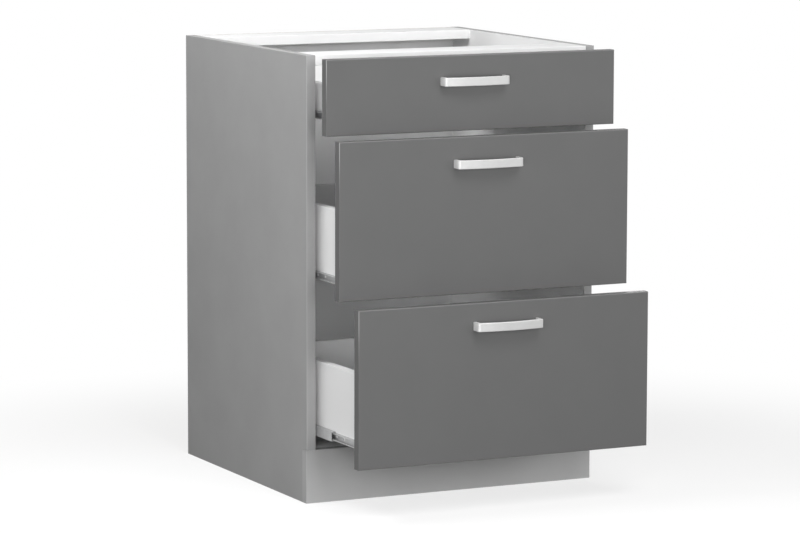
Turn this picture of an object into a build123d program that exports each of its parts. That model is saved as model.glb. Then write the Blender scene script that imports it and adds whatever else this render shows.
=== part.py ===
from build123d import *
from dataclasses import dataclass
import os

# Kitchen base cabinet with three drawers on ball-bearing slides, drawn with the
# drawers pulled out in steps. X runs across the front, Y from front to back, Z up.
# The origin is the middle of the plinth board's underside, on the floor.

os.makedirs("parts", exist_ok=True)

# ---------------------------------------------------------------- carcass boards
cabinet_width = 600
cabinet_height = 834
side_depth = 568
board = 18  # coated chipboard
edge_round = 0.8  # banded edges
plinth_height = 100
plinth_recess = 2  # plinth board behind the sides' front edges
plinth_joint = 0.5  # shadow joint between the plinth board and the sides
back_thickness = 3
back_inset = 8  # back panel in front of the sides' rear edges
back_groove_depth = 6
groove_clearance = 0.2
front_rail_depth = 80
rear_rail_depth = 74
worktop_hole_radius = 2.5
worktop_hole_spacing = 400

# ---------------------------------------------------------------- drawer fronts
front_side_reveal = 1.5  # front's ends inside the cabinet's outer faces
front_thickness = 18
front_round = 1.8
front_gap = 5  # between one front and the next
front_top_reveal = 2  # top front's upper edge below the cabinet's
front_buffer = 2  # closed front's back to the carcass
shallow_front_height = 140
top_pulled_out = 62
middle_pulled_out = 118
bottom_pulled_out = 200

# ---------------------------------------------------------------- drawer boxes
box_length = 450
box_board = 16
top_box_rise = 25  # lower edge of a box above its front's lower edge; the fronts
middle_box_rise = 24  # are set by hand, so each drawer has its own
bottom_box_rise = 29
shallow_box_height = 64.5
deep_box_height = 135.5
drawer_floor_thickness = 5
drawer_floor_rise = 11  # underside of the floor above the lower edge of the box
floor_groove_depth = 6
lower_fitting_rise = 40  # cam fittings above the lower edge of the box
upper_fitting_rise = 108

# ---------------------------------------------------------------- handles
handle_centres = 128
handle_leg = 6
handle_bar = 5
handle_projection = 20.5  # at the bar's ends
handle_bow = 6.5  # further projection at the bar's middle
handle_height = 16
handle_outer_round = 5
handle_inner_round = 1.5
handle_edge_round = 1.2
handle_screw_radius = 2
handle_screw_reach = 10
handle_screw_head_radius = 4
handle_screw_head_height = 2.4
top_handle_drop = 47.5  # handle's middle below its front's upper edge
middle_handle_drop = 49.5
bottom_handle_drop = 42.5

# ---------------------------------------------------------------- drawer slides
slide_space = 13  # between a side panel and a drawer box
slide_setback = 20  # outer member behind the sides' front edges
middle_length = 380
inner_setback = 4  # inner member behind its front
top_drift = 40  # closed middle member behind the outer member's end; it runs free,
middle_drift = 62  # so each drawer has its own
bottom_drift = 16
web = 1.2
flange = 1.4
inner_half_height = 6.5
play = 1.0  # between the flanges of neighbouring members
outer_lip = 9.6  # open edge of the outer member, from the side panel
middle_web = 2.4  # near face of the middle member's web, from the side panel
middle_lip = 11.2
inner_lip = 5.0
cage_length = 150
cage_sheet = 0.4
outer_cage_web = 1.6
outer_cage_lip = 7.6
inner_cage_web = 4.1
inner_cage_lip = 10.9
outer_race = 5.6  # ball track between outer and middle members, from the side panel
inner_race = 8.9  # ball track between middle and inner members
ball_radius = 1.3
race_clearance = 0.2
pocket_clearance = 0.1
balls_per_row = 3
ball_pitch = 60
stop_lug = 1.4
stop_lug_height = 12
slot_length = 9  # spare mounting slots in the outer and inner members
slot_width = 4.6
slot_inset = 115  # first slot from the end of its member
slot_pitch = 32

# ---------------------------------------------------------------- fasteners
screw_radius = 1.7
screw_head_radius = 3.3
screw_length = 13
screw_inset = 17  # first slide screw from the end of its member
bolt_thread_radius = 2.5
bolt_thread_length = 11
bolt_shank_radius = 3
bolt_reach = 24  # centre of the cam housing from the joint
cam_axis_depth = 8  # bolt's middle below the face that the cam is turned from
cam_radius = 7.4
cam_depth = 12.5
cam_slot = 1.6
dowel_radius = 4
dowel_in_side = 12
dowel_in_board = 23
bore_clearance = 0.1
panel_fitting_inset = 48  # cam fittings in the bottom panel, from its front and rear edges
panel_dowel_inset = 96
rail_fitting_offset = 16  # cam fitting and dowel either side of a top rail's middle line

# ---------------------------------------------------------------- derived places
inner_half_width = cabinet_width / 2 - board
front_plane = -(plinth_recess + board / 2)
rear_plane = front_plane + side_depth
plinth_back = front_plane + plinth_recess + board
back_front_face = rear_plane - back_inset - back_thickness
box_half_width = inner_half_width - slide_space
middle_inside = inner_half_height + play
middle_half_height = middle_inside + flange
outer_inside = middle_half_height + play
outer_half_height = outer_inside + flange
inner_ball_height = inner_half_height + play / 2
outer_ball_height = middle_half_height + play / 2
floor_top_rise = drawer_floor_rise + drawer_floor_thickness
slide_start = front_plane + slide_setback
slide_length = box_length
inner_length = box_length - inner_setback
inner_closed_start = front_plane - front_buffer + inner_setback
bottom_front = plinth_back
bottom_rear = back_front_face
bottom_fitting_height = plinth_height - board + cam_axis_depth
rail_fitting_height = cabinet_height - board + cam_axis_depth
rear_rail_front = back_front_face - rear_rail_depth
front_rail_middle = front_plane + front_rail_depth / 2
rear_rail_middle = rear_rail_front + rear_rail_depth / 2
front_width = cabinet_width - 2 * front_side_reveal
fronts_height = cabinet_height - front_top_reveal - plinth_height
deep_front_height = (fronts_height - shallow_front_height) / 2 - front_gap
bottom_front_bottom = plinth_height
middle_front_bottom = bottom_front_bottom + deep_front_height + front_gap
top_front_bottom = middle_front_bottom + deep_front_height + front_gap
sides = (-1, 1)
side_names = {-1: "left", 1: "right"}


@dataclass
class Drawer:
    name: str
    front_bottom: float
    front_height: float
    box_rise: float
    box_height: float
    pulled_out: float
    handle_drop: float
    drift: float
    fitting_rises: tuple


top_drawer = Drawer(
    "top",
    top_front_bottom,
    shallow_front_height,
    top_box_rise,
    shallow_box_height,
    top_pulled_out,
    top_handle_drop,
    top_drift,
    (lower_fitting_rise,),
)
middle_drawer = Drawer(
    "middle",
    middle_front_bottom,
    deep_front_height,
    middle_box_rise,
    deep_box_height,
    middle_pulled_out,
    middle_handle_drop,
    middle_drift,
    (lower_fitting_rise, upper_fitting_rise),
)
bottom_drawer = Drawer(
    "bottom",
    bottom_front_bottom,
    deep_front_height,
    bottom_box_rise,
    deep_box_height,
    bottom_pulled_out,
    bottom_handle_drop,
    bottom_drift,
    (lower_fitting_rise, upper_fitting_rise),
)
drawers = (top_drawer, middle_drawer, bottom_drawer)


def box_bottom(drawer):
    return drawer.front_bottom + drawer.box_rise


def slide_height(drawer):
    return box_bottom(drawer) + inner_half_height


def front_back_face(drawer):
    return front_plane - front_buffer - drawer.pulled_out


def middle_start(drawer):
    return slide_start + drawer.drift - drawer.pulled_out / 2


def inner_start(drawer):
    return inner_closed_start - drawer.pulled_out


def outer_cage_middle(drawer):
    # Midway along the overlap of the outer and middle members, and stays so as they move.
    closed = slide_start + (drawer.drift + middle_length) / 2
    return closed - drawer.pulled_out / 4


def inner_cage_middle(drawer):
    # Midway along the overlap of the middle and inner members, and stays so as they move.
    closed = (slide_start + drawer.drift + inner_closed_start + inner_length) / 2
    return closed - drawer.pulled_out * 3 / 4


def write(part, name):
    part.label = name
    export_step(part, f"parts/{name}.step")


# ---------------------------------------------------------------- fastener shapes
# Each stands on its joint face at the origin and points along +Z into the second board.
with BuildPart() as wood_screw:
    with BuildSketch(Plane.XZ) as wood_screw_profile:
        with BuildLine():
            Polyline(
                (0, 0),
                (screw_head_radius, 0),
                (screw_radius, -(screw_head_radius - screw_radius)),
                (screw_radius, -screw_length + screw_radius),
                (0, -screw_length),
                close=True,
            )
        make_face()
    revolve(axis=Axis.Z)

with BuildPart() as wood_screw_bore:
    with BuildSketch(Plane.XZ) as wood_screw_bore_profile:
        with BuildLine():
            Polyline(
                (0, 0),
                (screw_head_radius + bore_clearance, 0),
                (screw_radius + bore_clearance, -(screw_head_radius - screw_radius)),
                (screw_radius + bore_clearance, -screw_length),
                (0, -screw_length - bore_clearance),
                close=True,
            )
        make_face()
    revolve(axis=Axis.Z)

with BuildPart() as cam_bolt:
    Cylinder(bolt_shank_radius, bolt_reach, align=(Align.CENTER, Align.CENTER, Align.MIN))
    Cylinder(
        bolt_thread_radius,
        bolt_thread_length,
        align=(Align.CENTER, Align.CENTER, Align.MAX),
    )

with BuildPart() as cam_housing:
    with BuildSketch(Plane.YZ.offset(-cam_axis_depth)) as cam_outline:
        with Locations((0, bolt_reach)):
            Circle(cam_radius)
    extrude(amount=cam_depth)
    with BuildSketch(Plane.YZ.offset(-cam_axis_depth)) as cam_driver_slot:
        with Locations((0, bolt_reach)):
            Rectangle(cam_radius, cam_slot)
            Rectangle(cam_slot, cam_radius)
    extrude(amount=cam_slot, mode=Mode.SUBTRACT)
    Cylinder(
        bolt_shank_radius + bore_clearance,
        bolt_reach + bore_clearance,
        align=(Align.CENTER, Align.CENTER, Align.MIN),
        mode=Mode.SUBTRACT,
    )

with BuildPart() as cam_bore:
    with BuildSketch(Plane.YZ.offset(-cam_axis_depth)) as cam_bore_outline:
        with Locations((0, bolt_reach)):
            Circle(cam_radius + bore_clearance)
    extrude(amount=cam_depth + bore_clearance)
    Cylinder(
        bolt_shank_radius + bore_clearance,
        bolt_reach,
        align=(Align.CENTER, Align.CENTER, Align.MIN),
    )
    Cylinder(
        bolt_thread_radius + bore_clearance,
        bolt_thread_length + bore_clearance,
        align=(Align.CENTER, Align.CENTER, Align.MAX),
    )

with BuildPart() as dowel:
    with BuildSketch(Plane.XY.offset(-dowel_in_side)) as dowel_outline:
        Circle(dowel_radius)
    extrude(amount=dowel_in_side + dowel_in_board)
    chamfer(dowel.edges().filter_by(GeomType.CIRCLE), dowel_radius / 5)

with BuildPart() as dowel_bore:
    with BuildSketch(Plane.XY.offset(-dowel_in_side - bore_clearance)) as dowel_bore_outline:
        Circle(dowel_radius + bore_clearance)
    extrude(amount=dowel_in_side + dowel_in_board + 2 * bore_clearance)

# ---------------------------------------------------------------- fastener sites
def inward(side, y, z):
    # On a side panel's inner face, looking into the cabinet, housing open downwards.
    return Plane(origin=(side * inner_half_width, y, z), x_dir=(0, 0, 1), z_dir=(-side, 0, 0))


carcass_fitting_sites = []
carcass_dowel_sites = []
for side in sides:
    carcass_fitting_sites += [
        inward(side, bottom_front + panel_fitting_inset, bottom_fitting_height),
        inward(side, bottom_rear - panel_fitting_inset, bottom_fitting_height),
        inward(side, front_rail_middle + rail_fitting_offset, rail_fitting_height),
        inward(side, rear_rail_middle + rail_fitting_offset, rail_fitting_height),
    ]
    carcass_dowel_sites += [
        inward(side, bottom_front + panel_dowel_inset, bottom_fitting_height),
        inward(side, bottom_rear - panel_dowel_inset, bottom_fitting_height),
        inward(side, front_rail_middle - rail_fitting_offset, rail_fitting_height),
        inward(side, rear_rail_middle - rail_fitting_offset, rail_fitting_height),
    ]

plinth_dowel_heights = (plinth_height / 4, plinth_height * 3 / 4)
plinth_dowel_sites = [
    Plane(
        origin=(side * (cabinet_width - board) / 2, plinth_back, height),
        x_dir=(1, 0, 0),
        z_dir=(0, 1, 0),
    )
    for side in sides
    for height in plinth_dowel_heights
]


def screw_places(start, length):
    return (start + screw_inset, start + length / 2, start + length - screw_inset)


def cabinet_screw_sites(side):
    return [
        Plane(
            origin=(side * (inner_half_width - web), y, slide_height(drawer)),
            x_dir=(0, 1, 0),
            z_dir=(-side, 0, 0),
        )
        for drawer in drawers
        for y in screw_places(slide_start, slide_length)
    ]


def box_screw_sites(drawer, side):
    return [
        Plane(
            origin=(side * (box_half_width + web), y, slide_height(drawer)),
            x_dir=(0, 1, 0),
            z_dir=(side, 0, 0),
        )
        for y in screw_places(inner_start(drawer), inner_length)
    ]


def front_fitting_sites(drawer, side):
    # On the front's back face, looking back into the box side, housing open inwards.
    return [
        Plane(
            origin=(
                side * (box_half_width - box_board + cam_axis_depth),
                front_back_face(drawer),
                box_bottom(drawer) + rise,
            ),
            x_dir=(side, 0, 0),
            z_dir=(0, 1, 0),
        )
        for rise in drawer.fitting_rises
    ]


def back_fitting_sites(drawer, side):
    # On a box side's inner face, looking along the back board, housing open rearwards.
    return [
        Plane(
            origin=(
                side * (box_half_width - box_board),
                front_back_face(drawer) + box_length - cam_axis_depth,
                box_bottom(drawer) + rise,
            ),
            x_dir=(0, -1, 0),
            z_dir=(-side, 0, 0),
        )
        for rise in drawer.fitting_rises
    ]


def bore_out(bore, sites):
    # Cuts one bore shape out of the part being built, at each site.
    with Locations(*sites):
        add(bore.part, mode=Mode.SUBTRACT)


# ---------------------------------------------------------------- carcass
for side in sides:
    near_face = min(side * cabinet_width / 2, side * inner_half_width)
    with BuildPart() as side_panel:
        with BuildSketch(Plane.YZ.offset(near_face)) as side_outline:
            with Locations((front_plane, 0)):
                Rectangle(side_depth, cabinet_height, align=(Align.MIN, Align.MIN))
                Rectangle(
                    plinth_recess + board,
                    plinth_height + plinth_joint,
                    align=(Align.MIN, Align.MIN),
                    mode=Mode.SUBTRACT,
                )
        extrude(amount=board)
        fillet(side_panel.edges().filter_by(Axis.Z).group_by(Axis.Y)[0], edge_round)
        with Locations((side * inner_half_width, back_front_face, plinth_height - board)):
            Box(
                2 * back_groove_depth,
                back_thickness + groove_clearance,
                cabinet_height,
                align=(Align.CENTER, Align.MIN, Align.MIN),
                mode=Mode.SUBTRACT,
            )
        bore_out(cam_bore, carcass_fitting_sites)
        bore_out(dowel_bore, carcass_dowel_sites)
        bore_out(dowel_bore, plinth_dowel_sites)
        bore_out(wood_screw_bore, cabinet_screw_sites(side))
    write(side_panel.part, f"{side_names[side]}_side_panel")

with BuildPart() as bottom_panel:
    with BuildSketch(Plane.XY.offset(plinth_height - board)) as bottom_outline:
        with Locations((0, bottom_front)):
            Rectangle(
                2 * inner_half_width,
                bottom_rear - bottom_front,
                align=(Align.CENTER, Align.MIN),
            )
    extrude(amount=board)
    bore_out(cam_bore, carcass_fitting_sites)
    bore_out(dowel_bore, carcass_dowel_sites)
write(bottom_panel.part, "bottom_panel")

with BuildPart() as back_panel:
    with BuildSketch(Plane.XY.offset(plinth_height - board)) as back_outline:
        with Locations((0, back_front_face)):
            Rectangle(
                2 * (inner_half_width + back_groove_depth) - 2 * groove_clearance,
                back_thickness,
                align=(Align.CENTER, Align.MIN),
            )
    extrude(amount=cabinet_height - plinth_height + board)
write(back_panel.part, "back_panel")

for rail_name, rail_front, rail_depth in (
    ("front", front_plane, front_rail_depth),
    ("rear", rear_rail_front, rear_rail_depth),
):
    with BuildPart() as top_rail:
        with BuildSketch(Plane.XY.offset(cabinet_height - board)) as rail_outline:
            with Locations((0, rail_front)):
                Rectangle(2 * inner_half_width, rail_depth, align=(Align.CENTER, Align.MIN))
            with Locations((0, rail_front + rail_depth / 2)):
                with GridLocations(worktop_hole_spacing, 0, 2, 1):
                    Circle(worktop_hole_radius, mode=Mode.SUBTRACT)
        extrude(amount=board)
        fillet(top_rail.edges().filter_by(Axis.X).group_by(Axis.Y)[0], edge_round / 2)
        bore_out(cam_bore, carcass_fitting_sites)
        bore_out(dowel_bore, carcass_dowel_sites)
    write(top_rail.part, f"{rail_name}_top_rail")

with BuildPart() as plinth_board:
    with BuildSketch(Plane.XY) as plinth_outline:
        with Locations((0, plinth_back)):
            Rectangle(cabinet_width, board, align=(Align.CENTER, Align.MAX))
    extrude(amount=plinth_height)
    fillet(plinth_board.edges().filter_by(Axis.Z).group_by(Axis.Y)[0], edge_round)
    bore_out(dowel_bore, plinth_dowel_sites)
write(plinth_board.part, "plinth_board")

with BuildPart() as carcass_cam_fittings:
    with Locations(*carcass_fitting_sites):
        add(cam_bolt.part)
        add(cam_housing.part)
write(carcass_cam_fittings.part, "carcass_cam_fittings")

with BuildPart() as carcass_dowels:
    with Locations(*carcass_dowel_sites, *plinth_dowel_sites):
        add(dowel.part)
write(carcass_dowels.part, "carcass_dowels")

with BuildPart() as cabinet_slide_screws:
    with Locations(*cabinet_screw_sites(-1), *cabinet_screw_sites(1)):
        add(wood_screw.part)
write(cabinet_slide_screws.part, "cabinet_slide_screws")


# ---------------------------------------------------------------- slide sections
def channel(side, closed_at, open_at, half_height, wall, back, races):
    # A C section between two distances from the side panel, its back at closed_at,
    # with a ball track milled into both flanges at each race.
    low, high = sorted((closed_at, open_at))
    hollow_low = closed_at + back if closed_at < open_at else low
    hollow_high = high if closed_at < open_at else closed_at - back
    place = side * inner_half_width
    with Locations((place - side * (low + high) / 2, 0)):
        Rectangle(high - low, 2 * half_height)
    with Locations((place - side * (hollow_low + hollow_high) / 2, 0)):
        Rectangle(hollow_high - hollow_low, 2 * (half_height - wall), mode=Mode.SUBTRACT)
    for distance, height in races:
        with Locations((place - side * distance, height), (place - side * distance, -height)):
            Circle(ball_radius + race_clearance, mode=Mode.SUBTRACT)


def section_plane(drawer, start):
    return Plane(origin=(0, start, slide_height(drawer)), x_dir=(1, 0, 0), z_dir=(0, -1, 0))


def spare_slots(drawer, face, start, length):
    # Cuts slots through a web that lies against the given face of a board.
    with BuildSketch(Plane.YZ.offset(face)) as slots:
        for place in (start + slot_inset, start + length - slot_inset):
            with Locations((place, slide_height(drawer))):
                with GridLocations(slot_pitch, 0, 2, 1):
                    SlotOverall(slot_length, slot_width)
    extrude(slots.sketch, amount=web, both=True, mode=Mode.SUBTRACT)


def cage_and_balls(side, drawer, middle, cage_web, cage_lip, ball_height, race):
    # A thin channel with a pocket for each ball, and the balls in their pockets.
    place = side * (inner_half_width - race)
    with BuildPart() as cage:
        with BuildSketch(section_plane(drawer, middle - cage_length / 2)) as cage_section:
            leg_half_height = ball_height + cage_sheet / 2
            channel(side, cage_web, cage_lip, leg_half_height, cage_sheet, cage_sheet, ())
        extrude(amount=-cage_length)
        with Locations((place, middle, slide_height(drawer))):
            with GridLocations(0, ball_pitch, 1, balls_per_row):
                Cylinder(
                    ball_radius + pocket_clearance,
                    2 * outer_half_height,
                    mode=Mode.SUBTRACT,
                )
    with BuildPart() as balls:
        with Locations((place, middle, slide_height(drawer))):
            with GridLocations(0, ball_pitch, 1, balls_per_row):
                with Locations((0, 0, ball_height), (0, 0, -ball_height)):
                    Sphere(ball_radius)
    return cage.part.solids() + balls.part.solids()


for drawer in drawers:
    outer_cages = []
    inner_cages = []
    for side in sides:
        with BuildPart() as outer_member:
            with BuildSketch(section_plane(drawer, slide_start)) as outer_section:
                races = ((outer_race, outer_ball_height),)
                channel(side, 0, outer_lip, outer_half_height, flange, web, races)
            extrude(amount=-slide_length)
            lug_plane = section_plane(drawer, slide_start + slide_length - stop_lug)
            with BuildSketch(lug_plane) as lug_section:
                with Locations((side * (inner_half_width - (web + outer_lip) / 2), 0)):
                    Rectangle(outer_lip - web, stop_lug_height)
            extrude(amount=-stop_lug)
            bore_out(wood_screw_bore, cabinet_screw_sites(side))
            spare_slots(drawer, side * inner_half_width, slide_start, slide_length)
        write(outer_member.part, f"{drawer.name}_slide_outer_{side_names[side]}")

        with BuildPart() as middle_member:
            with BuildSketch(section_plane(drawer, middle_start(drawer))) as middle_section:
                races = ((outer_race, outer_ball_height), (inner_race, inner_ball_height))
                channel(side, middle_web, middle_lip, middle_half_height, flange, web, races)
            extrude(amount=-middle_length)
        write(middle_member.part, f"{drawer.name}_slide_middle_{side_names[side]}")

        with BuildPart() as inner_member:
            with BuildSketch(section_plane(drawer, inner_start(drawer))) as inner_section:
                races = ((inner_race, inner_ball_height),)
                channel(side, slide_space, inner_lip, inner_half_height, flange, web, races)
            extrude(amount=-inner_length)
            bore_out(wood_screw_bore, box_screw_sites(drawer, side))
            spare_slots(drawer, side * box_half_width, inner_start(drawer), inner_length)
        write(inner_member.part, f"{drawer.name}_slide_inner_{side_names[side]}")

        outer_cages += cage_and_balls(
            side,
            drawer,
            outer_cage_middle(drawer),
            outer_cage_web,
            outer_cage_lip,
            outer_ball_height,
            outer_race,
        )
        inner_cages += cage_and_balls(
            side,
            drawer,
            inner_cage_middle(drawer),
            inner_cage_web,
            inner_cage_lip,
            inner_ball_height,
            inner_race,
        )
    write(Compound(children=outer_cages), f"{drawer.name}_slide_outer_cages")
    write(Compound(children=inner_cages), f"{drawer.name}_slide_inner_cages")

# ---------------------------------------------------------------- drawers
for drawer in drawers:
    back_face = front_back_face(drawer)
    lower_edge = box_bottom(drawer)
    fitting_sites = []
    slide_screw_sites = []
    for side in sides:
        fitting_sites += front_fitting_sites(drawer, side)
        fitting_sites += back_fitting_sites(drawer, side)
        slide_screw_sites += box_screw_sites(drawer, side)
    handle_height_place = drawer.front_bottom + drawer.front_height - drawer.handle_drop
    handle_holes = [
        Plane(
            origin=(x * handle_centres / 2, back_face, handle_height_place),
            x_dir=(1, 0, 0),
            z_dir=(0, 1, 0),
        )
        for x in sides
    ]

    with BuildPart() as floor_groove:
        with Locations((0, back_face - floor_groove_depth, lower_edge + drawer_floor_rise)):
            Box(
                2 * (box_half_width - box_board + floor_groove_depth),
                box_length + 2 * floor_groove_depth,
                drawer_floor_thickness + groove_clearance,
                align=(Align.CENTER, Align.MIN, Align.MIN),
            )

    with BuildPart() as front:
        with BuildSketch(Plane.XZ.offset(-back_face)) as front_outline:
            with Locations((0, drawer.front_bottom)):
                Rectangle(front_width, drawer.front_height, align=(Align.CENTER, Align.MIN))
        extrude(amount=front_thickness)
        fillet(front.faces().sort_by(Axis.Y)[0].edges(), front_round)
        with Locations(*handle_holes):
            Hole(handle_screw_radius + bore_clearance)
        add(floor_groove.part, mode=Mode.SUBTRACT)
        bore_out(cam_bore, fitting_sites)
    write(front.part, f"{drawer.name}_drawer_front")

    handle_plane = Plane(
        origin=(0, back_face - front_thickness, handle_height_place - handle_height / 2),
        x_dir=(1, 0, 0),
        z_dir=(0, 0, 1),
    )
    outer_end = (handle_centres + handle_leg) / 2
    inner_end = (handle_centres - handle_leg) / 2
    gap = handle_projection - handle_bar
    with BuildPart() as handle:
        with BuildSketch(handle_plane) as bow:
            with BuildLine():
                Line((-outer_end, 0), (-outer_end, -handle_projection))
                ThreePointArc(
                    (-outer_end, -handle_projection),
                    (0, -handle_projection - handle_bow),
                    (outer_end, -handle_projection),
                )
                Line((outer_end, -handle_projection), (outer_end, 0))
                Line((outer_end, 0), (inner_end, 0))
                Line((inner_end, 0), (inner_end, -gap))
                ThreePointArc((inner_end, -gap), (0, -gap - handle_bow), (-inner_end, -gap))
                Line((-inner_end, -gap), (-inner_end, 0))
                Line((-inner_end, 0), (-outer_end, 0))
            make_face()
            fillet(bow.vertices().group_by(Axis.Y)[1], handle_inner_round)
            fillet(bow.vertices().group_by(Axis.Y)[0], handle_outer_round)
        extrude(amount=handle_height)
        bar_edges = handle.faces().sort_by(Axis.Y)[0].edges().filter_by(GeomType.CIRCLE)
        fillet(bar_edges, handle_edge_round)
        with Locations(*handle_holes):
            Cylinder(
                handle_screw_radius + bore_clearance,
                2 * (front_thickness + handle_screw_reach + bore_clearance),
                mode=Mode.SUBTRACT,
            )
    write(handle.part, f"{drawer.name}_drawer_handle")

    with BuildPart() as handle_screws:
        with Locations(*handle_holes):
            Cylinder(
                handle_screw_radius,
                front_thickness + handle_screw_reach,
                align=(Align.CENTER, Align.CENTER, Align.MAX),
            )
            Cylinder(
                handle_screw_head_radius,
                handle_screw_head_height,
                align=(Align.CENTER, Align.CENTER, Align.MIN),
            )
    write(handle_screws.part, f"{drawer.name}_handle_screws")

    for side in sides:
        near_face = min(side * box_half_width, side * (box_half_width - box_board))
        with BuildPart() as box_side:
            with BuildSketch(Plane.YZ.offset(near_face)) as box_side_outline:
                with Locations((back_face, lower_edge)):
                    Rectangle(box_length, drawer.box_height, align=(Align.MIN, Align.MIN))
            extrude(amount=box_board)
            fillet(box_side.edges().filter_by(Axis.Y).group_by(Axis.Z)[-1], edge_round)
            add(floor_groove.part, mode=Mode.SUBTRACT)
            bore_out(cam_bore, fitting_sites)
            bore_out(wood_screw_bore, slide_screw_sites)
        write(box_side.part, f"{drawer.name}_drawer_{side_names[side]}_side")

    with BuildPart() as box_back:
        with BuildSketch(Plane.XY.offset(lower_edge + floor_top_rise)) as box_back_outline:
            with Locations((0, back_face + box_length)):
                Rectangle(
                    2 * (box_half_width - box_board),
                    box_board,
                    align=(Align.CENTER, Align.MAX),
                )
        extrude(amount=drawer.box_height - floor_top_rise)
        bore_out(cam_bore, fitting_sites)
    write(box_back.part, f"{drawer.name}_drawer_back")

    with BuildPart() as drawer_floor:
        with BuildSketch(Plane.XY.offset(lower_edge + drawer_floor_rise)) as floor_outline:
            with Locations((0, back_face - floor_groove_depth + groove_clearance)):
                Rectangle(
                    2 * (box_half_width - box_board + floor_groove_depth - groove_clearance),
                    box_length + floor_groove_depth - groove_clearance,
                    align=(Align.CENTER, Align.MIN),
                )
        extrude(amount=drawer_floor_thickness)
    write(drawer_floor.part, f"{drawer.name}_drawer_floor")

    with BuildPart() as drawer_fixings:
        with Locations(*fitting_sites):
            add(cam_bolt.part)
            add(cam_housing.part)
        with Locations(*slide_screw_sites):
            add(wood_screw.part)
    write(drawer_fixings.part, f"{drawer.name}_drawer_fixings")
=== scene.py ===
from math import radians

import bmesh
import bpy
from mathutils import Matrix, Vector


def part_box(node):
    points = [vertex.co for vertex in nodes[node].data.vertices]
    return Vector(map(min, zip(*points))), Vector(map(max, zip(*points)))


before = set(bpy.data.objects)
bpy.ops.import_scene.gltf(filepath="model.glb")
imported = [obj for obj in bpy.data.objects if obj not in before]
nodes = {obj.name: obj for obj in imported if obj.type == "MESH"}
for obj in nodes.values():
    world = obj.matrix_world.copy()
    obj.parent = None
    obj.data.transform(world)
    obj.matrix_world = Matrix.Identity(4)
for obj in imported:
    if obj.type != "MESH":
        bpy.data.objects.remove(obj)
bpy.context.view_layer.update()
print("frame loaded")


# camera, solved from the straight edges of the photographed cabinet
cameraView = {
    "place": (-3.1352, -6.1994, 1.3596),
    "lens": 167.78,
    "sensorWidth": 36,
    "clipEnd": 200,
    "turn": 26.061,  # degrees from +Y towards +X
    "tilt": 7.651,  # degrees down
    "roll": 0.138,
}
cameraData = bpy.data.cameras.new("camera")
cameraData.lens = cameraView["lens"]
cameraData.sensor_width = cameraView["sensorWidth"]
cameraData.clip_end = cameraView["clipEnd"]
camera = bpy.data.objects.new("camera", cameraData)
camera.matrix_world = (
    Matrix.Translation(cameraView["place"])
    @ Matrix.Rotation(-radians(cameraView["turn"]), 4, "Z")
    @ Matrix.Rotation(radians(90 - cameraView["tilt"]), 4, "X")
    @ Matrix.Rotation(radians(cameraView["roll"]), 4, "Z")
)
bpy.context.scene.collection.objects.link(camera)
bpy.context.scene.camera = camera
print("camera placed")


# small helpers for shader trees
def addNode(tree, kind, **settings):
    node = tree.nodes.new(kind)
    for key, value in settings.items():
        setattr(node, key, value)
    return node


def link(tree, source, target):
    tree.links.new(source, target)


def fill(tree, socket, value):
    # another node's output is linked, anything else is the socket's own value
    if isinstance(value, bpy.types.NodeSocket):
        link(tree, value, socket)
    elif socket.type == "RGBA":
        socket.default_value = (*value, 1)
    else:
        socket.default_value = value


def mathNode(tree, operation, first, second=None, third=None, clamp=False):
    node = addNode(tree, "ShaderNodeMath", operation=operation, use_clamp=clamp)
    for socket, value in zip(node.inputs, (first, second, third)):
        if value is not None:
            fill(tree, socket, value)
    return node.outputs[0]


def vectorNode(tree, operation, first, second=None):
    node = addNode(tree, "ShaderNodeVectorMath", operation=operation)
    for socket, value in zip(node.inputs, (first, second)):
        if value is not None:
            fill(tree, socket, value)
    return node.outputs["Value" if operation == "LENGTH" else "Vector"]


def axesOf(tree, vector):
    node = addNode(tree, "ShaderNodeSeparateXYZ")
    link(tree, vector, node.inputs[0])
    return node.outputs


def mixColor(tree, amount, first, second):
    node = addNode(tree, "ShaderNodeMix", data_type="RGBA")
    # a Mix node's colour sockets come after those for its other kinds of value
    for index, value in ((0, amount), (6, first), (7, second)):
        fill(tree, node.inputs[index], value)
    return node.outputs[2]


def mixShader(tree, amount, first, second):
    node = addNode(tree, "ShaderNodeMixShader")
    for socket, source in zip(node.inputs, (amount, first, second)):
        link(tree, source, socket)
    return node.outputs[0]


def mapRange(tree, value, fromLow, fromHigh, toLow, toHigh, smooth=False):
    node = addNode(tree, "ShaderNodeMapRange")
    node.interpolation_type = "SMOOTHSTEP" if smooth else "LINEAR"
    for socket, given in zip(node.inputs, (value, fromLow, fromHigh, toLow, toHigh)):
        fill(tree, socket, given)
    return node.outputs[0]


def noise(tree, vector, scale, detail, roughness=0.5):
    node = addNode(tree, "ShaderNodeTexNoise")
    settings = {"Vector": vector, "Scale": scale, "Detail": detail, "Roughness": roughness}
    for name, value in settings.items():
        fill(tree, node.inputs[name], value)
    return node.outputs["Fac"]


def anyOf(tree, masks):
    total = masks[0]
    for mask in masks[1:]:
        total = mathNode(tree, "MAXIMUM", total, mask)
    return total


def newGroup(name, inputs, outputs):
    tree = bpy.data.node_groups.new(name, "ShaderNodeTree")
    for label, kind, value in inputs:
        socket = tree.interface.new_socket(label, in_out="INPUT", socket_type="NodeSocket" + kind)
        socket.default_value = value
    for label, kind in outputs:
        tree.interface.new_socket(label, in_out="OUTPUT", socket_type="NodeSocket" + kind)
    given, out = addNode(tree, "NodeGroupInput"), addNode(tree, "NodeGroupOutput")
    return tree, given.outputs, out.inputs


def useGroup(tree, group, **values):
    node = addNode(tree, "ShaderNodeGroup", node_tree=group)
    for name, value in values.items():
        fill(tree, node.inputs[name], value)
    return node.outputs


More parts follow.
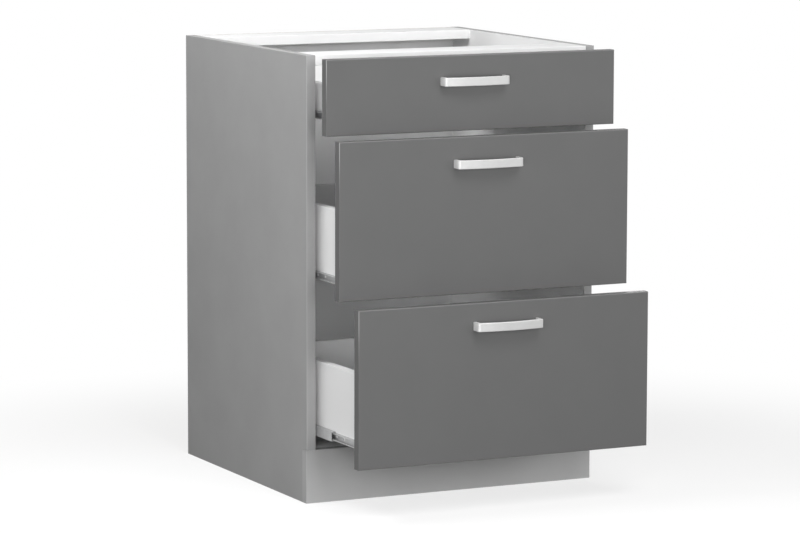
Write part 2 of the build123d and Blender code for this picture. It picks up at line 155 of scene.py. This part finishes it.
# fine orange-peel relief of a foil or melamine face over a slow waviness, and a cloudy mottle
foilNoise = {
    "fine": (3.0, 0.55),  # detail and roughness
    "waveShare": 0.06,  # the waviness's scale as a share of the grain's
    "waveDetail": 1.0,
    "mottle": (9.0, 4.0, 0.6),  # scale, detail and roughness
}


def makeFoilGrain():
    tree, given, out = newGroup(
        "foilGrain",
        (("Vector", "Vector", (0, 0, 0)), ("Scale", "Float", 1400.0), ("Wave", "Float", 0.3)),
        (("Height", "Float"), ("Mottle", "Float")),
    )
    fine = noise(tree, given["Vector"], given["Scale"], *foilNoise["fine"])
    waveScale = mathNode(tree, "MULTIPLY", given["Scale"], foilNoise["waveShare"])
    wave = noise(tree, given["Vector"], waveScale, foilNoise["waveDetail"])
    link(tree, mathNode(tree, "MULTIPLY_ADD", wave, given["Wave"], fine), out["Height"])
    link(tree, noise(tree, given["Vector"], *foilNoise["mottle"]), out["Mottle"])
    return tree


# distance from the nearest edge of a box-shaped board, as a mask that is 1 at the edge
edgeSoftness = 0.2


def makeBoardEdge():
    tree, given, out = newGroup(
        "boardEdge",
        (
            ("Vector", "Vector", (0, 0, 0)),
            ("Middle", "Vector", (0, 0, 0)),
            ("Half", "Vector", (1, 1, 1)),
            ("Width", "Float", 0.002),
        ),
        (("Mask", "Float"),),
    )
    offset = vectorNode(tree, "SUBTRACT", given["Vector"], given["Middle"])
    depth = vectorNode(tree, "SUBTRACT", given["Half"], vectorNode(tree, "ABSOLUTE", offset))
    x, y, z = axesOf(tree, depth)
    # on a face one depth is nothing, so the middle one of the three is the way to the edge
    low = mathNode(tree, "MINIMUM", x, y)
    high = mathNode(tree, "MAXIMUM", x, y)
    middle = mathNode(tree, "MAXIMUM", low, mathNode(tree, "MINIMUM", high, z))
    share = mathNode(tree, "DIVIDE", middle, given["Width"], clamp=True)
    far = mathNode(tree, "SMOOTH_MIN", share, 1.0, edgeSoftness)
    link(tree, mathNode(tree, "SUBTRACT", 1.0, far, clamp=True), out["Mask"])
    return tree


# pressed wood chips, as on a raw edge: colour and relief
chipLook = {
    "scale": 520,
    "stretch": (0.55, 0.55, 1.0),
    "grain": (1500.0, 3.0),  # scale and detail
    "contrast": 1.8,
    "light": (0.56, 0.43, 0.28, 1),
    "dark": (0.30, 0.21, 0.12, 1),
}


def makeChipboard():
    tree, given, out = newGroup(
        "chipboard",
        (
            ("Vector", "Vector", (0, 0, 0)),
            ("Light", "Color", chipLook["light"]),
            ("Dark", "Color", chipLook["dark"]),
        ),
        (("Color", "Color"), ("Height", "Float")),
    )
    stretch = addNode(tree, "ShaderNodeMapping")
    stretch.inputs["Scale"].default_value = chipLook["stretch"]
    link(tree, given["Vector"], stretch.inputs["Vector"])
    chips = addNode(tree, "ShaderNodeTexVoronoi", feature="F1")
    chips.inputs["Scale"].default_value = chipLook["scale"]
    link(tree, stretch.outputs[0], chips.inputs["Vector"])
    tone = addNode(tree, "ShaderNodeSeparateColor")
    link(tree, chips.outputs["Color"], tone.inputs[0])
    grain = noise(tree, given["Vector"], *chipLook["grain"])
    shade = mathNode(tree, "MULTIPLY", tone.outputs[0], grain)
    lightness = mathNode(tree, "MULTIPLY", shade, chipLook["contrast"], clamp=True)
    link(tree, mixColor(tree, lightness, given["Dark"], given["Light"]), out["Color"])
    link(tree, mathNode(tree, "ADD", shade, chips.outputs["Distance"]), out["Height"])
    return tree


# fine drawn lines along one direction of a metal sheet, or a wood's pores, and a slow cloud
drawnNoise = {
    "lineDetail": 3.0,
    "cloud": (60.0, 4.0, 0.6),  # scale, detail and roughness
}


def makeDrawnLines():
    tree, given, out = newGroup(
        "drawnLines",
        (
            ("Vector", "Vector", (0, 0, 0)),
            ("Stretch", "Vector", (1, 0.02, 1)),
            ("Scale", "Float", 2600.0),
        ),
        (("Lines", "Float"), ("Cloud", "Float")),
    )
    stretched = vectorNode(tree, "MULTIPLY", given["Vector"], given["Stretch"])
    link(tree, noise(tree, stretched, given["Scale"], drawnNoise["lineDetail"]), out["Lines"])
    link(tree, noise(tree, given["Vector"], *drawnNoise["cloud"]), out["Cloud"])
    return tree


# rounded stretches between flat faces, as a mask that grows with the normal's tilt
def makeRoundedEdge():
    tree, given, out = newGroup(
        "roundedEdge",
        (("Normal", "Vector", (0, 0, 1)), ("Reach", "Float", 0.2)),
        (("Mask", "Float"),),
    )
    largest = anyOf(tree, list(axesOf(tree, vectorNode(tree, "ABSOLUTE", given["Normal"]))))
    tilt = mathNode(tree, "SUBTRACT", 1.0, largest)
    link(tree, mathNode(tree, "DIVIDE", tilt, given["Reach"], clamp=True), out["Mask"])
    return tree


foilGrain = makeFoilGrain()
boardEdge = makeBoardEdge()
roundedEdge = makeRoundedEdge()
chipboard = makeChipboard()
drawnLines = makeDrawnLines()
print("shader groups made")


# what all materials share
cloudRange = (0.3, 0.7)  # a cloudy noise hardly leaves it, so it is spread over a whole mask
fibreRange = (0.35, 0.65)  # the same for fibres and pores, with more contrast
facingLeast = 0.9  # least part of a normal along an axis on a face that looks that way
drawers = ("top", "middle", "bottom")


def grey(value):
    return (value, value, value)


def newMaterial(name):
    material = bpy.data.materials.new(name)
    material.use_nodes = True
    tree = material.node_tree
    place = addNode(tree, "ShaderNodeTexCoord")
    return material, tree, tree.nodes["Principled BSDF"], place.outputs


def setMaterial(name, material):
    mesh = nodes[name].data
    mesh.materials.clear()
    mesh.materials.append(material)


def addBump(tree, shader, height, distance):
    bump = addNode(tree, "ShaderNodeBump")
    bump.inputs["Distance"].default_value = distance
    link(tree, height, bump.inputs["Height"])
    link(tree, bump.outputs[0], shader.inputs["Normal"])


def spread(tree, cloud, low=0, high=1):
    return mapRange(tree, cloud, *cloudRange, low, high)


def facing(tree, place, axis, least=facingLeast):
    # 1 where a face looks along the axis, such as "+Y"
    value = axesOf(tree, place["Normal"])["XYZ".index(axis[1])]
    if axis[0] == "-":
        value = mathNode(tree, "MULTIPLY", value, -1.0)
    return mathNode(tree, "GREATER_THAN", value, least)


def anyFacing(tree, place, axes):
    return anyOf(tree, [facing(tree, place, axis) for axis in axes])


# boards: a mottled coat with a painted highlight as a lighter line along the edges and a lighter
# colour on the rounded edges, and raw chips where nothing is banded
boardCoat = {
    "roughSpread": 0.04,
    "rawRough": 0.9,
    "rawRelief": 14.0,  # the chips' relief in heights of the coat's grain
}


def coatBoard(name, values, box):
    material, tree, shader, place = newMaterial(name)
    vector = place["Object"]
    grain = useGroup(
        tree, foilGrain, Vector=vector, Scale=values["grainScale"], Wave=values["wave"]
    )
    low, high = box
    middle, half = tuple((low + high) / 2), tuple((high - low) / 2)
    edge = useGroup(
        tree, boardEdge, Vector=vector, Middle=middle, Half=half, Width=values["edgeWidth"]
    )
    color = mixColor(tree, spread(tree, grain["Mottle"]), values["deep"], values["face"])
    # painted highlight: a lighter line along the board's edges
    edgeMask = mathNode(tree, "MULTIPLY", edge["Mask"], values["edgeAmount"])
    color = mixColor(tree, edgeMask, color, values["edge"])
    return material, tree, shader, place, grain, color


def finishBoard(tree, shader, place, values, grain, color, rawFaces):
    roughest = values["rough"] + boardCoat["roughSpread"]
    smoothest = values["rough"] - boardCoat["roughSpread"]
    roughness = spread(tree, grain["Mottle"], roughest, smoothest)
    height = grain["Height"]
    if rawFaces:
        raw = anyFacing(tree, place, rawFaces)
        chips = useGroup(tree, chipboard, Vector=place["Object"])
        color = mixColor(tree, raw, color, chips["Color"])
        rawRough = mathNode(tree, "MULTIPLY", raw, boardCoat["rawRough"])
        roughness = mathNode(tree, "MAXIMUM", roughness, rawRough)
        relief = mathNode(tree, "MULTIPLY", chips["Height"], boardCoat["rawRelief"])
        height = mathNode(tree, "MULTIPLY_ADD", raw, relief, height)
    link(tree, color, shader.inputs["Base Color"])
    link(tree, roughness, shader.inputs["Roughness"])
    shader.inputs["Specular IOR Level"].default_value = values["specular"]
    addBump(tree, shader, height, values["bump"])


def boardMaterial(name, values, box, rawFaces):
    material, tree, shader, place, grain, color = coatBoard(name, values, box)
    # painted highlight: a lighter colour on the rounded edges
    roundedHighlightMask = useGroup(tree, roundedEdge, Normal=place["Normal"])["Mask"]
    roundedHighlightColor = values["roundedHighlight"]
    if "highlightDepth" in values:  # painted highlight on the rounded edges, brightest near the top, dimmer lower down and weaker on level edges
        top = box[1].z
        height = axesOf(tree, place["Object"])["Z"]
        rise = mapRange(tree, height, top - values["highlightDepth"], top, 0, 1, True)
        roundedHighlightColor = mixColor(tree, rise, values["roundedHighlightLow"], values["roundedHighlight"])
        level = mathNode(tree, "ABSOLUTE", axesOf(tree, place["Normal"])["Z"])
        share = mapRange(tree, level, *values["topRange"], 1.0, values["topShare"])
        roundedHighlightMask = mathNode(tree, "MULTIPLY", roundedHighlightMask, share)
    color = mixColor(tree, roundedHighlightMask, color, roundedHighlightColor)
    finishBoard(tree, shader, place, values, grain, color, rawFaces)
    return material


# white melamine boards: rails, bottom panel and drawer boxes, with painted highlights along the
# edges and on the rounded edges
whiteMelamine = {
    "face": grey(0.80),
    "deep": grey(0.785),
    "edge": grey(0.85),
    "roundedHighlight": grey(0.88),
    "edgeAmount": 0.6,
    "edgeWidth": 0.0012,
    "rough": 0.45,
    "specular": 0.15,
    "grainScale": 1500.0,
    "wave": 0.3,
    "bump": 0.00003,
}
# painted light: all boards but the front rail, which lies nearest the lamps and keeps the white
# above, take this lighter copy of the white to stand in for light that the lamps don't bring them
paintedLightMelamine = dict(whiteMelamine, face=grey(0.87), deep=grey(0.855), edge=grey(0.90))
rawWhiteFaces = {
    "bottom_panel": ("+Y",),
    "front_top_rail": (),
    "rear_top_rail": ("+Y",),
}
for drawer in drawers:
    rawWhiteFaces[drawer + "_drawer_left_side"] = ("+Y",)
    rawWhiteFaces[drawer + "_drawer_right_side"] = ("+Y",)
    rawWhiteFaces[drawer + "_drawer_back"] = ()
for name, rawFaces in rawWhiteFaces.items():
    values = whiteMelamine if name == "front_top_rail" else paintedLightMelamine
    setMaterial(name, boardMaterial("white_" + name, values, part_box(name), rawFaces))


# side panels: grey outside and round the banded edges, with painted highlights along the edges and
# on the rounded edges, and inside the lighter copy of the white melamine, which is painted light
sidePanel = {
    "face": grey(0.339),
    "deep": grey(0.325),
    "edge": grey(0.38),
    "band": grey(0.33),
    "topBand": grey(0.345),
    "roundedHighlight": grey(0.48),
    "edgeAmount": 0.6,
    "edgeWidth": 0.0014,
    "insideLeast": 0.99,  # only the flat inner face is white, not its rounded edges
    "rough": 0.50,
    "specular": 0.2,
    "grainScale": 1300.0,
    "wave": 0.4,
    "bump": 0.00004,
}


def sideMaterial(name, inward):
    values = sidePanel
    material, tree, shader, place, grain, outside = coatBoard("side_" + name, values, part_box(name))
    outside = mixColor(tree, facing(tree, place, "-Y"), outside, values["band"])
    outside = mixColor(tree, facing(tree, place, "+Z"), outside, values["topBand"])
    # painted highlight: a lighter colour on the rounded edges
    roundedHighlight = useGroup(tree, roundedEdge, Normal=place["Normal"])
    outside = mixColor(tree, roundedHighlight["Mask"], outside, values["roundedHighlight"])
    mottle = spread(tree, grain["Mottle"])
    # painted light: the inside takes the lighter copy of the white
    inside = mixColor(tree, mottle, paintedLightMelamine["deep"], paintedLightMelamine["face"])
    insideMask = facing(tree, place, inward, values["insideLeast"])
    color = mixColor(tree, insideMask, outside, inside)
    finishBoard(tree, shader, place, values, grain, color, ("+Y", "-Z"))
    return material


for name, inward in (("left_side_panel", "+X"), ("right_side_panel", "-X")):
    setMaterial(name, sideMaterial(name, inward))


# plinth board: the same kind of foil, a shade lighter, which is painted light that lifts it out of
# the bottom front's shadow, raw below and behind
plinthPaintedLightFoil = dict(
    sidePanel, face=grey(0.405), deep=grey(0.39), edge=grey(0.45), roundedHighlight=grey(0.50)
)
plinthMaterial = boardMaterial("plinthPaintedLightFoil", plinthPaintedLightFoil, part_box("plinth_board"), ("-Z", "+Y"))
setMaterial("plinth_board", plinthMaterial)


# drawer fronts: dark satin foil drawn over rounded edges, with a painted highlight along the edges
# and on the rounded edges that is brightest near the top
frontFoil = {
    "face": grey(0.101),
    "deep": grey(0.097),
    "edge": grey(0.13),
    "roundedHighlight": grey(0.34),
    "roundedHighlightLow": grey(0.118),
    "highlightDepth": 0.10,  # metres down from the upper edge
    "topRange": (0.1, 0.6),  # of the normal's Z, from an upright edge to a level one
    "topShare": 0.2,  # of the painted highlight that is left on a level edge
    "edgeAmount": 0.7,
    "edgeWidth": 0.0016,
    "rough": 0.45,
    "specular": 0.15,
    "grainScale": 1100.0,
    "wave": 0.5,
    "bump": 0.00004,
}
for drawer in drawers:
    name = drawer + "_drawer_front"
    setMaterial(name, boardMaterial(drawer + "FrontFoil", frontFoil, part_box(name), ()))
print("boards coated")


# thin fibreboard with one lacquered face: the back panel's rear and top edge are bare brown fibre,
# the drawer floors' undersides grey paper
fibreSheet = {
    "backLacquer": grey(0.90),
    "floorLacquer": grey(0.83),
    "cloud": grey(0.6),
    "cloudMost": 0.05,
    "bareFibre": ((0.27, 0.18, 0.105), (0.36, 0.25, 0.155)),
    "barePaper": (grey(0.58), grey(0.66)),
    "fibres": (260.0, 5.0, 0.7),  # scale, detail and roughness
    "rough": 0.48,
    "bareRough": 0.3,  # on top of the lacquer's
    "specular": 0.35,
    "grainScale": 900.0,
    "wave": 0.5,
    "bump": 0.00004,
}


def fibreMaterial(name, lacquer, bareFaces, bareColors):
    values = fibreSheet
    material, tree, shader, place = newMaterial(name)
    vector = place["Object"]
    grain = useGroup(
        tree, foilGrain, Vector=vector, Scale=values["grainScale"], Wave=values["wave"]
    )
    bare = anyFacing(tree, place, bareFaces)
    fibres = mapRange(tree, noise(tree, vector, *values["fibres"]), *fibreRange, 0, 1)
    bareColor = mixColor(tree, fibres, *bareColors)
    clouds = spread(tree, grain["Mottle"], 0, values["cloudMost"])
    cloudy = mixColor(tree, clouds, lacquer, values["cloud"])
    link(tree, mixColor(tree, bare, cloudy, bareColor), shader.inputs["Base Color"])
    roughness = mathNode(tree, "MULTIPLY_ADD", bare, values["bareRough"], values["rough"])
    link(tree, roughness, shader.inputs["Roughness"])
    shader.inputs["Specular IOR Level"].default_value = values["specular"]
    addBump(tree, shader, grain["Height"], values["bump"])
    return material


setMaterial(
    "back_panel",
    fibreMaterial("backSheet", fibreSheet["backLacquer"], ("+Y", "+Z"), fibreSheet["bareFibre"]),
)
floorSheet = fibreMaterial(
    "floorSheet", fibreSheet["floorLacquer"], ("-Z",), fibreSheet["barePaper"]
)
for drawer in drawers:
    setMaterial(drawer + "_drawer_floor", floorSheet)
print("sheets lacquered")


# metals: drawn lines or a blasted grain under one plated colour; the handles' sides carry painted
# light and their rounded edges a painted highlight
satinNickel = {
    "bright": (0.385, 0.385, 0.384),
    "dull": (0.36, 0.36, 0.359),
    "sides": (0.85, 0.85, 0.848),  # painted light: everything but the front face, much lighter so the legs look lit
    "frontLeast": 0.8,
    # painted highlight on the handle's rounded edges
    "roundedHighlight": (0.56, 0.56, 0.558),
    "rough": 0.45,
    "metallic": 0.35,
    "streak": 0.12,
    "stretch": (1, 1, 1),
    "scale": 2200.0,
    "bump": 0.00001,
}
zincSheet = {
    "bright": (0.49, 0.493, 0.496),
    "dull": (0.42, 0.423, 0.426),
    "rough": 0.45,
    "metallic": 0.6,
    "streak": 0.2,
    "stretch": (1, 0.03, 1),
    "scale": 2400.0,
    "bump": 0.00001,
}
cageSheet = dict(zincSheet, bright=(0.52, 0.52, 0.53), dull=(0.42, 0.42, 0.43), rough=0.3)
castZinc = dict(
    zincSheet,
    bright=(0.55, 0.56, 0.57),
    dull=(0.43, 0.44, 0.45),
    stretch=(1, 1, 1),
    scale=1500.0,
)


def metalMaterial(name, values):
    material, tree, shader, place = newMaterial(name)
    drawn = useGroup(
        tree, drawnLines, Vector=place["Object"], Stretch=values["stretch"], Scale=values["scale"]
    )
    color = mixColor(tree, spread(tree, drawn["Cloud"]), values["dull"], values["bright"])
    # painted light: all but the front face takes the lighter colour
    if "sides" in values:
        front = facing(tree, place, "-Y", values["frontLeast"])
        color = mixColor(tree, front, values["sides"], color)
    # painted highlight: a lighter colour on the rounded edges
    if "roundedHighlight" in values:
        roundedHighlight = useGroup(tree, roundedEdge, Normal=place["Normal"])
        color = mixColor(tree, roundedHighlight["Mask"], color, values["roundedHighlight"])
    link(tree, color, shader.inputs["Base Color"])
    smoothest = values["rough"] - values["streak"] / 2
    roughness = mathNode(tree, "MULTIPLY_ADD", drawn["Lines"], values["streak"], smoothest)
    link(tree, roughness, shader.inputs["Roughness"])
    shader.inputs["Metallic"].default_value = values["metallic"]
    addBump(tree, shader, drawn["Lines"], values["bump"])
    return material


handleMetal = metalMaterial("satinNickel", satinNickel)
slideMetal = metalMaterial("zincSheet", zincSheet)
cageMetal = metalMaterial("cageSheet", cageSheet)
fittingMetal = metalMaterial("castZinc", castZinc)
for name in nodes:
    if name.endswith("_drawer_handle"):
        setMaterial(name, handleMetal)
    elif name.endswith("_cages"):
        setMaterial(name, cageMetal)
    elif "_slide_outer_" in name or "_slide_middle_" in name or "_slide_inner_" in name:
        setMaterial(name, slideMetal)
    elif name.endswith(("_screws", "_fixings", "_fittings")):
        setMaterial(name, fittingMetal)
print("metals plated")


# beech dowels: straight pores along the grain, across the cabinet
beech = {
    "light": (0.66, 0.47, 0.29),
    "dark": (0.52, 0.34, 0.19),
    "stretch": (0.06, 1, 1),
    "scale": 1400.0,
    "rough": 0.7,
    "bump": 0.00005,
}


def beechMaterial():
    material, tree, shader, place = newMaterial("beech")
    pores = useGroup(
        tree, drawnLines, Vector=place["Object"], Stretch=beech["stretch"], Scale=beech["scale"]
    )
    poreMask = mapRange(tree, pores["Lines"], *fibreRange, 0, 1)
    color = mixColor(tree, poreMask, beech["dark"], beech["light"])
    link(tree, color, shader.inputs["Base Color"])
    shader.inputs["Roughness"].default_value = beech["rough"]
    addBump(tree, shader, pores["Lines"], beech["bump"])
    return material


setMaterial("carcass_dowels", beechMaterial())
print("all materials set")


def seenRays(tree):
    # 1 for what the camera sees, directly or in metal and glass
    path = addNode(tree, "ShaderNodeLightPath").outputs
    return anyOf(tree, [path["Is Camera Ray"], path["Is Glossy Ray"], path["Is Transmission Ray"]])


# floor: a pale sheet that keeps the cabinet's soft shadow and fades to white away from it
studioFloor = {
    "size": 60.0,
    "color": grey(0.33),
    "bounce": grey(0.17),  # the colour that the light it throws back on the cabinet takes
    "rough": 0.9,
    "lift": 0.70,  # paper white under the shadow that the camera sees
    "white": 1.0,
    "whiteFrom": 0.7,  # metres from the cabinet's middle where the fade starts
    "whiteAt": 1.6,
}


def makeFloor():
    mesh = bpy.data.meshes.new("floor")
    build = bmesh.new()
    bmesh.ops.create_grid(build, x_segments=1, y_segments=1, size=studioFloor["size"] / 2)
    build.to_mesh(mesh)
    build.free()
    floor = bpy.data.objects.new("floor", mesh)
    bpy.context.scene.collection.objects.link(floor)
    material, tree, shader, place = newMaterial("floorPaper")
    shader.inputs["Roughness"].default_value = studioFloor["rough"]
    shader.inputs["Specular IOR Level"].default_value = 0.0
    bounced = addNode(tree, "ShaderNodeLightPath").outputs["Is Diffuse Ray"]
    color = mixColor(tree, bounced, studioFloor["color"], studioFloor["bounce"])
    link(tree, color, shader.inputs["Base Color"])
    seen = seenRays(tree)
    lift = addNode(tree, "ShaderNodeEmission")
    link(tree, mathNode(tree, "MULTIPLY", seen, studioFloor["lift"]), lift.inputs["Strength"])
    lifted = addNode(tree, "ShaderNodeAddShader")
    link(tree, shader.outputs[0], lifted.inputs[0])
    link(tree, lift.outputs[0], lifted.inputs[1])
    white = addNode(tree, "ShaderNodeEmission")
    white.inputs["Strength"].default_value = studioFloor["white"]
    distance = vectorNode(tree, "LENGTH", place["Object"])
    fade = mapRange(tree, distance, studioFloor["whiteFrom"], studioFloor["whiteAt"], 0, 1, True)
    seenFade = mathNode(tree, "MULTIPLY", seen, fade)
    paper = mixShader(tree, seenFade, lifted.outputs[0], white.outputs[0])
    link(tree, paper, tree.nodes["Material Output"].inputs["Surface"])
    mesh.materials.append(material)


makeFloor()
print("floor laid")


# soft studio light: a low even world that shows white, and large softboxes, most of them in front
studioWorld = {"level": 0.06, "shown": 1.0}
softboxAim = (0, 0.1, 0.45)
softboxes = {
    "frontLow": {"place": (0, -4.5, 1.05), "size": 2.0, "power": 76},
    "frontRight": {"place": (2.6, -3.4, 1.4), "size": 2.0, "power": 56},
    "frontLeftNear": {"place": (-1.3, -1.9, 0.7), "size": 1.0, "power": 20},
    "topFront": {"place": (0, -2.2, 2.8), "size": 1.6, "power": 53},
    "topLeft": {"place": (-1.0, 0.2, 1.9), "size": 0.8, "power": 18},
    "leftLow": {"place": (-1.3, -0.6, 0.2), "size": 0.8, "power": 3.6},
    "leftRear": {"place": (-2.2, 1.3, 0.9), "size": 1.4, "power": 2},
    "rear": {"place": (2.4, 3.8, 0.45), "size": 0.8, "power": 40},
}


def makeWorld():
    world = bpy.data.worlds.new("studio")
    world.use_nodes = True
    tree = world.node_tree
    lighting = tree.nodes["Background"]
    shown = addNode(tree, "ShaderNodeBackground")
    for background, strength in ((lighting, studioWorld["level"]), (shown, studioWorld["shown"])):
        background.inputs["Color"].default_value = (1, 1, 1, 1)
        background.inputs["Strength"].default_value = strength
    backdrop = mixShader(tree, seenRays(tree), lighting.outputs[0], shown.outputs[0])
    link(tree, backdrop, tree.nodes["World Output"].inputs["Surface"])
    bpy.context.scene.world = world


def makeSoftbox(name, values):
    lamp = bpy.data.lights.new(name, "AREA")
    lamp.shape = "SQUARE"
    lamp.size = values["size"]
    lamp.energy = values["power"]
    softbox = bpy.data.objects.new(name, lamp)
    aim = Vector(softboxAim) - Vector(values["place"])
    turn = aim.to_track_quat("-Z", "Y").to_matrix().to_4x4()
    softbox.matrix_world = Matrix.Translation(values["place"]) @ turn
    bpy.context.scene.collection.objects.link(softbox)


makeWorld()
for name, values in softboxes.items():
    makeSoftbox(name, values)
bpy.context.scene.view_settings.view_transform = "Standard"
print("world and softboxes lit")
